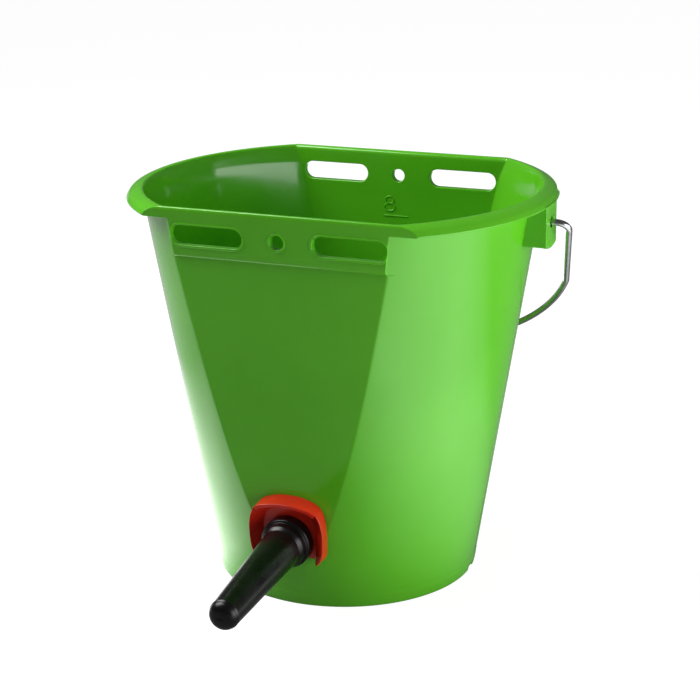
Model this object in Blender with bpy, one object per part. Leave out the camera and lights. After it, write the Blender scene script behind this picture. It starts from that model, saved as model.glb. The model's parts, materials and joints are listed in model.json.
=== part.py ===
"""Teat feeding bucket for calves and foals: one moulded bucket, a wire bail, and a teat valve held by a slide clip.

Units are metres, +Z is up and the bucket stands on z = 0. The teat points along -Y and the bail ears are at +X
and -X. The origin is under the middle of the whole object's footprint, so the bucket's own axis is at y = AXIS_Y.
"""

import math

import bmesh
import bpy
from mathutils import Matrix, Vector

GAP = 0.00035

# Bucket wall: a cone whose front and rear are cut off by two flat panels.
HEIGHT = 0.2776
WALL = 0.0028
CONE_RADIUS_AT_BASE = 0.09236
CONE_TAPER = 0.1637
PANEL_AT_BASE = 0.0953
PANEL_TAPER = 0.058
SMALLEST_HALF_FLAT = 0.009
SOFT_CORNER = 0.0034
CRISP_CORNER = 0.0005
FLAT_STEPS = 6
ARC_STEPS = 24

# Base ring and floor
RING_HEIGHT = 0.0095
RING_BULGE = 0.0002
FLOOR_TOP = 0.011
FLOOR_FILLET = 0.0065
NOTCH_WIDTH = 0.0124
NOTCH_CENTRE_Y = 0.0054
NOTCH_HEIGHT = 0.004

# Slotted strips along the top of both flats
STRIP_AT_TOP = 0.1132
STRIP_TAPER = 0.0363
STRIP_THICKNESS = 0.0054
STRIP_DEPTH = 0.0331
STRIP_HALF_WIDTH_TOP = 0.0775
STRIP_HALF_WIDTH_BOTTOM = 0.0740
SLOT_INNER_X = 0.0244
SLOT_OUTER_X = 0.0755
SLOT_TOP_DEPTH = 0.0116
SLOT_BOTTOM_DEPTH = 0.0246
HOOK_HOLE_RADIUS = 0.0047
HOOK_HOLE_DEPTH = 0.0181

# Rolled rim round the two arcs
RIM_RADIUS = 0.148
RIM_HEIGHT = 0.0073
RIM_SHELL = 0.0026
RIM_INNER_RADIUS = 0.1363

# Ears that carry the bail
EAR_FACE_X = 0.1485
EAR_HALF_WIDTH = 0.012
EAR_DEPTH = 0.0333
EAR_SHELL = 0.0025
EAR_TAB = 0.0019
EAR_TAB_INSET = 0.0002
PIVOT_DEPTH = 0.0178
PIVOT_HOLE_RADIUS = 0.0037

# Bail: bent steel wire, hanging back against the rear panel's corners
WIRE_RADIUS = 0.00225
BAIL_REST_ANGLE = math.radians(42.0)
LEG_X_AT_PIVOT = 0.1606
LEG_LEAN = 0.202
KINK_DROP = 0.0695
ARC_RADIUS = 0.1582
ARC_CENTRE_DROP = 0.0101
ARC_POINTS = 33
SHOULDER_BEND = 0.0065
HOOK_X = 0.1410
HOOK_BEND = 0.0035
HOOK_REACH = 0.0056

# Teat valve. Its axis is square to the front panel; w runs along it, 0 on the panel's outer face.
VALVE_HEIGHT = 0.0525
VALVE_HOLE_RADIUS = 0.0130
SHANK_RADIUS = 0.0126
GROOVE_RADIUS = 0.0108
GROOVE_WIDTH = 0.0037
COLLAR_END = 0.0108
SPIGOT_RADIUS = 0.0060
SPIGOT_BARB_RADIUS = 0.0066
SPIGOT_END = 0.0240
BORE_RADIUS = 0.0040
FLANGE_RADIUS = 0.0175
FLANGE_THICKNESS = 0.0032
SEAL_THICKNESS = 0.0020
SEAL_OUTER_RADIUS = 0.0165
CHAMBER_RADIUS = 0.0067
CHAMBER_OUTER_END = -0.0040
CHAMBER_INNER_END = -0.0204
HOUSING_RADIUS = 0.0090
BALL_RADIUS = 0.0060
BALL_REST = -0.0089
CAP_RADIUS = 0.0112
CAP_THICKNESS = 0.0028
CAP_SKIRT_END = -0.0140

# Teat
TEAT_COLLAR_RADIUS = 0.0177
TEAT_COLLAR_END = 0.0135
TEAT_ROOT_RADIUS = 0.0136
TEAT_END_RADIUS = 0.0102
TEAT_LENGTH = 0.1122
TEAT_DROOP = 0.0464
TEAT_BORE_ROOT = 0.0082
TEAT_BORE_END = 0.0060
TEAT_SLIT = 0.0060

# Slide clip
CLIP_HALF_WIDTH = 0.0264
CLIP_RISE = 0.0310
CLIP_POWER = 3.0
CLIP_PLATE = 0.0030
CLIP_WALL_HEIGHT = 0.0105
CLIP_LIP_EXTRA = 0.0013
CLIP_LIP_HALF_WIDTH = 0.0222
CLIP_WALL = 0.0019
CLIP_DISH = 0.0065
CLIP_LEG_CLEARANCE = 0.0005
CLIP_LEG_POINTS = ((0.0260, -0.0050), (0.0256, -0.0094), (0.0222, -0.0142))
CLIP_ARCH_STEPS = 28

STRIP_BOTTOM = HEIGHT - STRIP_DEPTH
WALL_TOP = HEIGHT - RIM_HEIGHT - GAP
FLOOR_UNDERSIDE = FLOOR_TOP - WALL
PIVOT_Z = HEIGHT - PIVOT_DEPTH
PANEL_ANGLE = math.atan(PANEL_TAPER)
PANEL_START = (PANEL_AT_BASE - CONE_RADIUS_AT_BASE) / (CONE_TAPER - PANEL_TAPER)
VALVE_Y = PANEL_AT_BASE + PANEL_TAPER * VALVE_HEIGHT
TEAT_REACH = VALVE_Y + TEAT_LENGTH * math.cos(PANEL_ANGLE)
BAIL_REACH = (ARC_CENTRE_DROP + ARC_RADIUS) * math.sin(BAIL_REST_ANGLE) + WIRE_RADIUS
AXIS_Y = (TEAT_REACH - BAIL_REACH) / 2

GREEN = (0.10, 0.36, 0.03)
RED = (0.62, 0.03, 0.01)
BLACK = (0.010, 0.010, 0.011)
DARK_GREY = (0.05, 0.05, 0.055)
WHITE = (0.80, 0.80, 0.78)
STEEL = (0.62, 0.62, 0.60)


def clear_scene():
    for old in list(bpy.data.objects):
        bpy.data.objects.remove(old)


def make_material(name, colour, roughness, metallic=0.0):
    material = bpy.data.materials.new(name)
    material.use_nodes = True
    shader = material.node_tree.nodes["Principled BSDF"]
    shader.inputs["Base Color"].default_value = (*colour, 1.0)
    shader.inputs["Roughness"].default_value = roughness
    shader.inputs["Metallic"].default_value = metallic
    return material


def make_empty(name, location, rotation=(0.0, 0.0, 0.0), parent=None):
    empty = bpy.data.objects.new(name, None)
    empty.empty_display_size = 0.02
    empty.location = location
    empty.rotation_euler = rotation
    empty.parent = parent
    bpy.context.collection.objects.link(empty)
    return empty


def make_object(name, mesh_builder, material, parent, smooth_angle=35.0):
    """Turn a finished bmesh into a smooth-shaded object under its parent."""
    bmesh.ops.recalc_face_normals(mesh_builder, faces=mesh_builder.faces)
    mesh = bpy.data.meshes.new(name)
    mesh_builder.to_mesh(mesh)
    mesh_builder.free()
    mesh.shade_smooth()
    mesh.set_sharp_from_angle(angle=math.radians(smooth_angle))
    if material:
        mesh.materials.append(material)
    made = bpy.data.objects.new(name, mesh)
    made.parent = parent
    bpy.context.collection.objects.link(made)
    return made


def combine(target, operand, operation):
    """Boolean an operand into the target, and keep the operand as a hidden guide."""
    operand.hide_render = True
    operand.display_type = "WIRE"
    modifier = target.modifiers.new(operand.name, "BOOLEAN")
    modifier.operation = operation
    modifier.solver = "EXACT"
    modifier.object = operand


def loft(sections, closed=False):
    """Skin a stack of equal closed outlines. The first and last are capped, or joined if the loft is closed."""
    builder = bmesh.new()
    rings = [[builder.verts.new(point) for point in section] for section in sections]
    pairs = list(zip(rings, rings[1:]))
    if closed:
        pairs.append((rings[-1], rings[0]))
    for lower, upper in pairs:
        for i in range(len(lower)):
            j = (i + 1) % len(lower)
            builder.faces.new((lower[i], lower[j], upper[j], upper[i]))
    if not closed:
        builder.faces.new(reversed(rings[0]))
        builder.faces.new(rings[-1])
    return builder


def turned(profile, segments):
    """Turn a closed profile of (radius, w) points round the local Z axis."""
    builder = bmesh.new()
    points = [builder.verts.new((radius, 0.0, w)) for radius, w in profile]
    edges = [builder.edges.new((points[i], points[(i + 1) % len(points)])) for i in range(len(points))]
    bmesh.ops.spin(
        builder,
        geom=points + edges,
        cent=(0, 0, 0),
        axis=(0, 0, 1),
        angle=2 * math.pi,
        steps=segments,
        use_merge=True,
    )
    bmesh.ops.remove_doubles(builder, verts=builder.verts, dist=1e-6)
    bmesh.ops.dissolve_degenerate(builder, edges=builder.edges, dist=1e-7)
    return builder


def box(low, high):
    builder = bmesh.new()
    centre = [(a + b) / 2 for a, b in zip(low, high)]
    size = [b - a for a, b in zip(low, high)]
    bmesh.ops.create_cube(builder, size=1.0, matrix=Matrix.Translation(centre) @ Matrix.Diagonal((*size, 1.0)))
    return builder


def cylinder(radius, start, end, segments=32):
    """A solid cylinder between two points."""
    builder = bmesh.new()
    along = Vector(end) - Vector(start)
    turn = along.to_track_quat("Z", "Y").to_matrix().to_4x4()
    place = Matrix.Translation((Vector(start) + Vector(end)) / 2) @ turn
    bmesh.ops.create_cone(
        builder,
        cap_ends=True,
        segments=segments,
        radius1=radius,
        radius2=radius,
        depth=along.length,
        matrix=place,
    )
    return builder


def cone_radius(z):
    return CONE_RADIUS_AT_BASE + CONE_TAPER * z


def panel_distance(z):
    return PANEL_AT_BASE + PANEL_TAPER * z


def strip_distance(z):
    return STRIP_AT_TOP - STRIP_TAPER * (HEIGHT - z)


def strip_half_width(z):
    part_way = (z - STRIP_BOTTOM) / STRIP_DEPTH
    return STRIP_HALF_WIDTH_BOTTOM + part_way * (STRIP_HALF_WIDTH_TOP - STRIP_HALF_WIDTH_BOTTOM)


def bucket_section(z, radius, flat, corner):
    """A circle cut off by two flats at y = -flat and y = +flat, counter-clockwise from the front left."""
    half_width = max(math.sqrt(max(radius**2 - flat**2, 0.0)), SMALLEST_HALF_FLAT)

    def depth_at(x):
        return min(flat, math.sqrt(radius**2 - x**2))

    straight = half_width - corner
    chord = [straight * (2 * i / FLAT_STEPS - 1) for i in range(FLAT_STEPS + 1)]
    tip = Vector((half_width, depth_at(half_width)))
    spread = math.atan2(tip.y, tip.x) - corner / radius
    arc = [spread * (2 * i / ARC_STEPS - 1) for i in range(ARC_STEPS + 1)]
    arc_start = Vector((radius * math.cos(spread), radius * math.sin(spread)))
    softened = (Vector((straight, depth_at(straight))) + 2 * tip + arc_start) / 4

    outline = [(x, -depth_at(x)) for x in chord]
    outline.append((softened.x, -softened.y))
    outline += [(radius * math.cos(a), radius * math.sin(a)) for a in arc]
    outline.append((softened.x, softened.y))
    outline += [(-x, depth_at(x)) for x in chord]
    outline.append((-softened.x, softened.y))
    outline += [(-radius * math.cos(a), -radius * math.sin(a)) for a in arc]
    outline.append((-softened.x, -softened.y))
    return [(x, y, z) for x, y in outline]


def levels(low, high, count):
    return [low + (high - low) * i / (count - 1) for i in range(count)]


def wall_levels(low, high, count):
    """Heights up the wall, with one where the panels run out into the cone and the rest crowded above it."""
    return [low] + [PANEL_START + (high - PANEL_START) * part**2 for part in levels(0.0, 1.0, count)]


def build_wall(green, frame, valve_axis):
    """Wall with its panels, base ring and floor fillet, up to the rim. The strips' places are cut out of its top."""
    sections = []

    def add(z, radius, flat, corner=SOFT_CORNER):
        sections.append(bucket_section(z, radius, flat, corner))

    # Underside of the fillet and the base ring
    foot_radius = CONE_RADIUS_AT_BASE
    fillet_start = WALL + FLOOR_FILLET
    add(FLOOR_UNDERSIDE, cone_radius(FLOOR_TOP) - fillet_start, panel_distance(FLOOR_TOP) - fillet_start)
    for z, radius in (
        (FLOOR_UNDERSIDE, foot_radius - WALL),
        (0.0008, foot_radius - WALL + 0.0002),
        (0.0, foot_radius - WALL + 0.0008),
        (0.0, foot_radius - 0.0006),
        (0.0012, foot_radius + 0.0006),
        (0.0040, cone_radius(RING_HEIGHT) - 0.0001),
        (RING_HEIGHT - 0.0015, cone_radius(RING_HEIGHT) + RING_BULGE),
    ):
        add(z, radius, panel_distance(z))

    # Outside of the wall and the panels, then beside the strips up to the rim
    for z in wall_levels(RING_HEIGHT + 0.0015, STRIP_BOTTOM - 0.0006, 10):
        add(z, cone_radius(z), panel_distance(z))
    for z in (STRIP_BOTTOM, WALL_TOP):
        add(z, cone_radius(z), strip_distance(z))

    # Inside, down to the floor's fillet
    for z in (WALL_TOP, STRIP_BOTTOM):
        add(z, cone_radius(z) - WALL, strip_distance(z) - STRIP_THICKNESS)
    for z in reversed(wall_levels(FLOOR_TOP + FLOOR_FILLET, STRIP_BOTTOM - 0.0020, 9)):
        add(z, cone_radius(z) - WALL, panel_distance(z) - WALL)
    for turn in (30, 60, 90):
        rise = FLOOR_FILLET * (1 - math.sin(math.radians(turn)))
        inset = FLOOR_FILLET * (1 - math.cos(math.radians(turn)))
        z = FLOOR_TOP + rise
        add(z, cone_radius(z) - WALL - inset, panel_distance(z) - WALL - inset)
    wall = make_object("bucket_wall", loft(sections, closed=True), green, frame)

    for face, name in ((-1, "front"), (1, "rear")):
        bottom = STRIP_BOTTOM - GAP
        corners = [
            (side * (strip_half_width(z) + GAP), z)
            for side, z in ((-1, bottom), (1, bottom), (1, HEIGHT), (-1, HEIGHT))
        ]
        place = loft([[(x, face * y, z) for x, z in corners] for y in (0.09, 0.13)])
        combine(wall, make_object("guide_strip_place_" + name, place, None, frame), "DIFFERENCE")
    valve_hole = cylinder(VALVE_HOLE_RADIUS, (0, 0, -0.010), (0, 0, 0.010), 40)
    combine(wall, make_object("guide_valve_hole", valve_hole, None, valve_axis), "DIFFERENCE")
    notch = box(
        (-0.12, NOTCH_CENTRE_Y - NOTCH_WIDTH / 2, -0.005),
        (0.12, NOTCH_CENTRE_Y + NOTCH_WIDTH / 2, NOTCH_HEIGHT),
    )
    combine(wall, make_object("guide_drain_notches", notch, None, frame), "DIFFERENCE")


def build_floor(green, frame):
    """The floor's plate, inside the fillet that the wall carries."""
    inset = WALL + FLOOR_FILLET + GAP
    radius = cone_radius(FLOOR_TOP) - inset
    flat = panel_distance(FLOOR_TOP) - inset
    sections = [bucket_section(z, radius, flat, SOFT_CORNER) for z in (FLOOR_UNDERSIDE, FLOOR_TOP)]
    make_object("bucket_floor", loft(sections), green, frame)


def stadium(x_low, x_high, z_low, z_high, y_low, y_high, steps=6):
    """A prism along Y with full-round ends."""
    radius = (z_high - z_low) / 2
    middle = (z_low + z_high) / 2
    outline = []
    for centre_x, start in ((x_high - radius, -90), (x_low + radius, 90)):
        for i in range(steps + 1):
            angle = math.radians(start + 180 * i / steps)
            outline.append((centre_x + radius * math.cos(angle), middle + radius * math.sin(angle)))
    return loft([[(x, y, z) for x, z in outline] for y in (y_high, y_low)])


def build_strip(name, face, green, frame):
    """A thick strip along the top of one flat, with two hanging slots and a hook hole. face is -1 at the front."""
    inner = STRIP_THICKNESS
    profile = (
        (STRIP_BOTTOM, 0.0012),
        (STRIP_BOTTOM + 0.0012, 0.0),
        (HEIGHT - 0.0010, 0.0),
        (HEIGHT - 0.0001, 0.0010),
        (HEIGHT, 0.0020),
        (HEIGHT - 0.0003, inner - 0.0012),
        (HEIGHT - 0.0014, inner - 0.0002),
        (HEIGHT - 0.0050, inner),
        (STRIP_BOTTOM, inner),
    )
    ends = [
        [(side * strip_half_width(z), face * (strip_distance(z) - inset), z) for z, inset in profile]
        for side in (-1, 1)
    ]
    strip = make_object(name, loft(ends), green, frame)

    y_low, y_high = sorted((face * 0.09, face * (STRIP_AT_TOP + 0.01)))
    z_low = HEIGHT - SLOT_BOTTOM_DEPTH
    z_high = HEIGHT - SLOT_TOP_DEPTH
    slots = (("right", SLOT_INNER_X, SLOT_OUTER_X), ("left", -SLOT_OUTER_X, -SLOT_INNER_X))
    for side, x_low, x_high in slots:
        slot = stadium(x_low, x_high, z_low, z_high, y_low, y_high)
        combine(strip, make_object("guide_%s_slot_%s" % (name, side), slot, None, frame), "DIFFERENCE")
    hook_z = HEIGHT - HOOK_HOLE_DEPTH
    hook_hole = cylinder(HOOK_HOLE_RADIUS, (0, y_low, hook_z), (0, y_high, hook_z), 20)
    combine(strip, make_object("guide_%s_hook_hole" % name, hook_hole, None, frame), "DIFFERENCE")


def build_rim(name, side, green, frame):
    """Half of the rolled rim, from strip to strip. Channels leave it open below, but not over the ear."""
    sections = []
    for drop, radius, flat_inset in (
        (RIM_HEIGHT, RIM_RADIUS - 0.0004, 0.0),
        (RIM_HEIGHT - 0.0006, RIM_RADIUS, 0.0),
        (0.0050, 0.1472, 0.0),
        (0.0028, 0.1455, 0.0),
        (0.0010, 0.1432, 0.0002),
        (0.0001, 0.1402, 0.0010),
        (0.0000, 0.1386, 0.0020),
        (0.0003, RIM_INNER_RADIUS + 0.0008, STRIP_THICKNESS - 0.0012),
        (0.0014, RIM_INNER_RADIUS, STRIP_THICKNESS - 0.0002),
        (0.0050, RIM_INNER_RADIUS - 0.0014, STRIP_THICKNESS),
        (RIM_HEIGHT, cone_radius(HEIGHT - RIM_HEIGHT) - WALL, STRIP_THICKNESS),
    ):
        sections.append(bucket_section(HEIGHT - drop, radius, STRIP_AT_TOP - flat_inset, CRISP_CORNER))
    rim = make_object(name, loft(sections, closed=True), green, frame)

    end_x = STRIP_HALF_WIDTH_TOP + GAP
    beyond = RIM_RADIUS + 0.01
    low_x, high_x = sorted((-side * beyond, side * end_x))
    other_half = box((low_x, -beyond, HEIGHT - 0.02), (high_x, beyond, HEIGHT + 0.01))
    combine(rim, make_object("guide_%s_end" % name, other_half, None, frame), "DIFFERENCE")

    top = HEIGHT - RIM_SHELL - 0.0006
    bottom = HEIGHT - RIM_HEIGHT - 0.002
    inner = cone_radius(HEIGHT - RIM_HEIGHT) + 0.0006
    outer = RIM_RADIUS - RIM_SHELL
    profile = ((inner, bottom), (outer, bottom), (outer, top - 0.0022), (outer - 0.0030, top), (inner, top))
    strip_end = math.asin((STRIP_AT_TOP - RIM_SHELL) / outer) - 0.035
    ear_end = math.asin((EAR_HALF_WIDTH + 0.0010) / inner)
    steps = 12
    for end, way in (("front", -1), ("rear", 1)):
        channel = []
        for angle in levels(ear_end, strip_end, steps):
            across, along = side * math.cos(angle), way * math.sin(angle)
            channel.append([(r * across, r * along, z) for r, z in profile])
        guide = make_object("guide_%s_channel_%s" % (name, end), loft(channel), None, frame)
        combine(rim, guide, "DIFFERENCE")


def ear_tab(side):
    """The bowed lower edge of an ear's outer plate, EAR_TAB deeper at its middle than at its ends."""
    bottom = HEIGHT - EAR_DEPTH
    half = EAR_HALF_WIDTH - EAR_TAB_INSET
    overlap = 0.004
    steps = 12
    outline = [(half, bottom + overlap), (-half, bottom + overlap)]
    for i in range(steps + 1):
        part = 2 * i / steps - 1
        outline.append((half * part, bottom - EAR_TAB * (1 - part**2)))
    faces_x = (EAR_FACE_X - EAR_SHELL + EAR_TAB_INSET, EAR_FACE_X - EAR_TAB_INSET)
    return loft([[(side * x, y, z) for y, z in outline] for x in faces_x])


def build_ear(name, side, green, frame):
    """A box-shaped ear, open below and to the wall, with a bowed lower edge, for the bail's hooked end."""
    bottom = HEIGHT - EAR_DEPTH
    sections = []
    for z, shrink in ((bottom, 0.0008), (bottom + 0.0008, 0.0), (WALL_TOP, 0.0)):
        wall_face = cone_radius(z) + GAP
        face = EAR_FACE_X - shrink
        half = EAR_HALF_WIDTH - shrink
        inner_face = EAR_FACE_X - EAR_SHELL
        inner_half = EAR_HALF_WIDTH - EAR_SHELL
        outline = (
            (wall_face, half),
            (face, half),
            (face, -half),
            (wall_face, -half),
            (wall_face, -inner_half),
            (inner_face, -inner_half),
            (inner_face, inner_half),
            (wall_face, inner_half),
        )
        sections.append([(side * x, y, z) for x, y in outline])
    ear = make_object(name, loft(sections), green, frame)
    combine(ear, make_object("guide_tab_" + name, ear_tab(side), None, frame), "UNION")
    ends = (side * (EAR_FACE_X - 0.005), 0, PIVOT_Z), (side * (EAR_FACE_X + 0.005), 0, PIVOT_Z)
    bail_hole = cylinder(PIVOT_HOLE_RADIUS, *ends, 20)
    combine(ear, make_object("guide_bail_hole_" + name, bail_hole, None, frame), "DIFFERENCE")


def build_bucket(frame, valve_axis):
    """One moulding, built as the plain shapes that it is made of, with a hair's gap between them."""
    green = make_material("green_polypropylene", GREEN, 0.28)
    build_wall(green, frame, valve_axis)
    build_floor(green, frame)
    build_strip("front_strip", -1, green, frame)
    build_strip("rear_strip", 1, green, frame)
    for side, name in ((1, "right"), (-1, "left")):
        build_rim(name + "_rim", side, green, frame)
        build_ear(name + "_ear", side, green, frame)


def bend(corner, before, after, radius, steps):
    """Points of an arc of this radius that rounds the corner between two straight runs."""
    corner, before, after = Vector(corner), Vector(before), Vector(after)
    to_before = (before - corner).normalized()
    to_after = (after - corner).normalized()
    half = to_before.angle(to_after) / 2
    reach = radius / math.tan(half)
    centre = corner + (to_before + to_after).normalized() * radius / math.sin(half)
    start = corner + to_before * reach - centre
    sweep = (corner + to_after * reach - centre).angle(start)
    side = start.angle_signed(corner + to_after * reach - centre)
    direction = 1 if side > 0 else -1
    points = []
    for i in range(steps + 1):
        turn = Matrix.Rotation(-direction * sweep * i / steps, 2)
        points.append(centre + turn @ start)
    return points


def bail_half_path():
    """One half of the wire, from the hook inside the ear to the start of the arc, as (x, drop) points."""
    def leg_x(drop):
        return LEG_X_AT_PIVOT - LEG_LEAN * drop

    hook_tip = (HOOK_X, -HOOK_REACH)
    hook_corner = (HOOK_X, 0.0)
    shoulder = (LEG_X_AT_PIVOT, 0.0)
    kink = (leg_x(KINK_DROP), KINK_DROP)
    path = [Vector(hook_tip)]
    path += bend(hook_corner, hook_tip, shoulder, HOOK_BEND, 4)
    path += bend(shoulder, hook_corner, kink, SHOULDER_BEND, 5)
    path.append(Vector((leg_x(KINK_DROP * 0.5), KINK_DROP * 0.5)))
    path.append(Vector((leg_x(KINK_DROP - 0.004), KINK_DROP - 0.004)))
    return path


def build_bail(hinge):
    """Hooked, bent wire. Its points lie in its own plane, hanging along -Z before the hinge tilts it back."""
    half = bail_half_path()
    start = math.asin((KINK_DROP + 0.003 - ARC_CENTRE_DROP) / ARC_RADIUS)
    arc = []
    for angle in levels(start, math.pi - start, ARC_POINTS):
        arc.append(Vector((ARC_RADIUS * math.cos(angle), ARC_CENTRE_DROP + ARC_RADIUS * math.sin(angle))))
    path = half + arc + [Vector((-point.x, point.y)) for point in reversed(half)]
    curve = bpy.data.curves.new("bail_handle", "CURVE")
    curve.dimensions = "3D"
    curve.bevel_depth = WIRE_RADIUS
    curve.bevel_resolution = 2
    curve.use_fill_caps = True
    curve.materials.append(make_material("zinc_plated_wire", STEEL, 0.22, 1.0))
    spline = curve.splines.new("POLY")
    spline.points.add(len(path) - 1)
    for point, place in zip(spline.points, path):
        point.co = (place.x, 0.0, -place.y, 1.0)
    wire = bpy.data.objects.new("bail_handle", curve)
    wire.parent = hinge
    bpy.context.collection.objects.link(wire)


def build_valve_body(valve_axis):
    flange_front = -WALL - SEAL_THICKNESS - 2 * GAP
    flange_back = flange_front - FLANGE_THICKNESS
    profile = (
        (CHAMBER_RADIUS, CHAMBER_INNER_END),
        (HOUSING_RADIUS, CHAMBER_INNER_END),
        (HOUSING_RADIUS, flange_back),
        (FLANGE_RADIUS - 0.0008, flange_back),
        (FLANGE_RADIUS, flange_back + 0.0008),
        (FLANGE_RADIUS, flange_front),
        (SHANK_RADIUS, flange_front),
        (SHANK_RADIUS, 0.0),
        (GROOVE_RADIUS, 0.0),
        (GROOVE_RADIUS, GROOVE_WIDTH),
        (SHANK_RADIUS, GROOVE_WIDTH),
        (SHANK_RADIUS, COLLAR_END - 0.0010),
        (SHANK_RADIUS - 0.0010, COLLAR_END),
        (SPIGOT_RADIUS, COLLAR_END),
        (SPIGOT_RADIUS, SPIGOT_END - 0.0060),
        (SPIGOT_BARB_RADIUS, SPIGOT_END - 0.0050),
        (SPIGOT_RADIUS - 0.0008, SPIGOT_END),
        (BORE_RADIUS, SPIGOT_END),
        (BORE_RADIUS, CHAMBER_OUTER_END),
        (CHAMBER_RADIUS, CHAMBER_OUTER_END),
    )
    black = make_material("black_valve_plastic", DARK_GREY, 0.40)
    body = make_object("valve_body", turned(profile, 32), black, valve_axis)
    slot = box((-0.0015, -CHAMBER_RADIUS + 0.0006, -0.006), (0.0015, CHAMBER_RADIUS - 0.0006, -0.0015))
    combine(body, make_object("guide_flow_slot", slot, None, valve_axis), "DIFFERENCE")


def build_valve_seal(valve_axis):
    outer = -WALL - GAP
    inner = outer - SEAL_THICKNESS
    profile = (
        (SHANK_RADIUS + GAP, inner),
        (SEAL_OUTER_RADIUS, inner),
        (SEAL_OUTER_RADIUS, outer),
        (SHANK_RADIUS + GAP, outer),
    )
    rubber = make_material("seal_rubber", BLACK, 0.60)
    make_object("valve_seal", turned(profile, 32), rubber, valve_axis)


def build_valve_ball(ball_slide):
    builder = bmesh.new()
    bmesh.ops.create_uvsphere(builder, u_segments=20, v_segments=12, radius=BALL_RADIUS)
    white = make_material("white_ball", WHITE, 0.30)
    make_object("valve_ball", builder, white, ball_slide, smooth_angle=60.0)


def build_valve_cap(valve_axis):
    seat = CHAMBER_INNER_END - GAP
    profile = (
        (BORE_RADIUS, seat - CAP_THICKNESS),
        (CAP_RADIUS - 0.0010, seat - CAP_THICKNESS),
        (CAP_RADIUS, seat - CAP_THICKNESS + 0.0010),
        (CAP_RADIUS, CAP_SKIRT_END),
        (HOUSING_RADIUS + GAP, CAP_SKIRT_END),
        (HOUSING_RADIUS + GAP, seat),
        (BORE_RADIUS + 0.0010, seat),
        (BORE_RADIUS, seat - 0.0010),
    )
    grey = make_material("valve_cap_plastic", DARK_GREY, 0.45)
    make_object("valve_cap", turned(profile, 32), grey, valve_axis)


def build_teat(valve_axis):
    """Thick rubber teat: a collar stretched over the valve, then a long nipple that droops a little."""
    rear = GROOVE_WIDTH
    root = TEAT_COLLAR_END + 0.0020
    dome_start = TEAT_LENGTH - 0.0080
    bore_end = TEAT_LENGTH - 0.0052
    profile = [
        (SHANK_RADIUS + GAP, rear),
        (TEAT_COLLAR_RADIUS - 0.0010, rear),
        (TEAT_COLLAR_RADIUS, rear + 0.0010),
        (TEAT_COLLAR_RADIUS, TEAT_COLLAR_END - 0.0020),
        (TEAT_COLLAR_RADIUS - 0.0007, TEAT_COLLAR_END - 0.0006),
        (TEAT_COLLAR_RADIUS - 0.0022, TEAT_COLLAR_END),
        (TEAT_ROOT_RADIUS + 0.0009, TEAT_COLLAR_END + 0.0004),
        (TEAT_ROOT_RADIUS, root),
        (TEAT_END_RADIUS, dome_start),
    ]
    for turn in (20, 45, 70, 90):
        angle = math.radians(turn)
        along = dome_start + (TEAT_LENGTH - dome_start) * math.sin(angle)
        profile.append((TEAT_END_RADIUS * math.cos(angle), along))
    profile += [
        (0.0, bore_end),
        (TEAT_BORE_END * 0.7, bore_end - 0.0015),
        (TEAT_BORE_END, bore_end - 0.0050),
        (TEAT_BORE_ROOT, SPIGOT_END + 0.004),
        (TEAT_BORE_ROOT, COLLAR_END + GAP),
        (SHANK_RADIUS + GAP, COLLAR_END + GAP),
    ]
    builder = turned(profile, 28)
    for vertex in builder.verts:
        vertex.co.y -= TEAT_DROOP * max(vertex.co.z - root, 0.0)
    rubber = make_material("teat_rubber", BLACK, 0.32)
    teat = make_object("teat", builder, rubber, valve_axis)
    drop = TEAT_DROOP * (TEAT_LENGTH - root)
    slit = box(
        (-TEAT_SLIT / 2, -drop - 0.0003, bore_end - 0.006),
        (TEAT_SLIT / 2, -drop + 0.0003, TEAT_LENGTH + 0.004),
    )
    combine(teat, make_object("guide_teat_slit", slit, None, valve_axis), "DIFFERENCE")


def clip_outline():
    """Outer outline of the clip and the edge of its neck, from the left leg's tip over the arch to the right's."""
    outer = [Vector((-x, y)) for x, y in reversed(CLIP_LEG_POINTS)]
    for i in range(CLIP_ARCH_STEPS + 1):
        angle = math.pi * (1 - i / CLIP_ARCH_STEPS)
        c, s = math.cos(angle), math.sin(angle)
        x = math.copysign(abs(c) ** (2 / CLIP_POWER), c) * CLIP_HALF_WIDTH
        outer.append(Vector((x, abs(s) ** (2 / CLIP_POWER) * CLIP_RISE)))
    outer += [Vector(point) for point in CLIP_LEG_POINTS]

    neck_radius = GROOVE_RADIUS + GAP
    neck_leg = ((-neck_radius - 0.0008, -0.0125), (-neck_radius, -0.0095), (-neck_radius, -0.0050))
    neck = [Vector(point) for point in neck_leg]
    for i in range(CLIP_ARCH_STEPS + 1):
        angle = math.pi * (1 - i / CLIP_ARCH_STEPS)
        neck.append(neck_radius * Vector((math.cos(angle), math.sin(angle))))
    neck += [Vector((-x, y)) for x, y in reversed(neck_leg)]
    return outer, neck


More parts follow.
